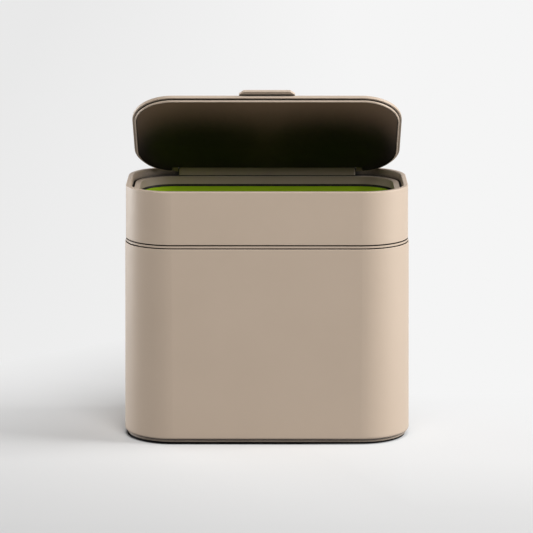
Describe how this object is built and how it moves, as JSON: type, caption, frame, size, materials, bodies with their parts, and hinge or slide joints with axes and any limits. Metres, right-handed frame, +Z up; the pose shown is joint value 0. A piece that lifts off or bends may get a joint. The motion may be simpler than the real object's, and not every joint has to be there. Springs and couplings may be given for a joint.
{
  "type": "compost caddy",
  "caption": "Free-standing worktop compost caddy: a rounded box on a rubber foot with a hinged lid and finger tab, a lift-off collar and a lift-out bucket.",
  "frame": {"origin": "on the table under the middle of the caddy", "axes": "+X to the right seen from the front, +Y to the back where the hinge is, +Z up"},
  "size_m": [0.2518, 0.1354, 0.3074],
  "materials": {
    "taupe_plastic": "fine matt grain",
    "dark_plastic": "satin",
    "lime_plastic": "glossy",
    "black_rubber": "matt",
    "steel": "bright",
    "bush_plastic": "smooth"
  },
  "bodies": {
    "base": {"outer_body": "taupe_plastic", "base_plate": "taupe_plastic", "foot_ring": "black_rubber", "base_screws": "steel", "seam_ring": "black_rubber", "seam_strip": "taupe_plastic"},
    "bucket": {"bucket": "lime_plastic"},
    "collar": {"collar": "taupe_plastic", "inner_ring": "taupe_plastic", "hinge_bar": "taupe_plastic", "hinge_bush_left": "bush_plastic", "hinge_bush_right": "bush_plastic", "hinge_screws": "steel"},
    "lid": {"lid_cover": "taupe_plastic", "lid_frame": "taupe_plastic", "lid_panel": "dark_plastic", "lid_gasket": "black_rubber", "lid_tab": "taupe_plastic", "hinge_pin_left": "steel", "hinge_pin_right": "steel"}
  },
  "joints": [
    {"name": "bucket_lift", "type": "slide", "parent": "base", "child": "bucket", "axis": [0, 0, 1], "range_m": [0, 0.19]},
    {"name": "collar_lift", "type": "slide", "parent": "bucket", "child": "collar", "axis": [0, 0, 1], "range_m": [0, 0.06]},
    {"name": "lid_hinge", "type": "hinge", "parent": "collar", "child": "lid", "pos_m": [0, 0.058, 0.2231], "axis": [-1, 0, 0], "range_deg": [-42, 58]}
  ]
}
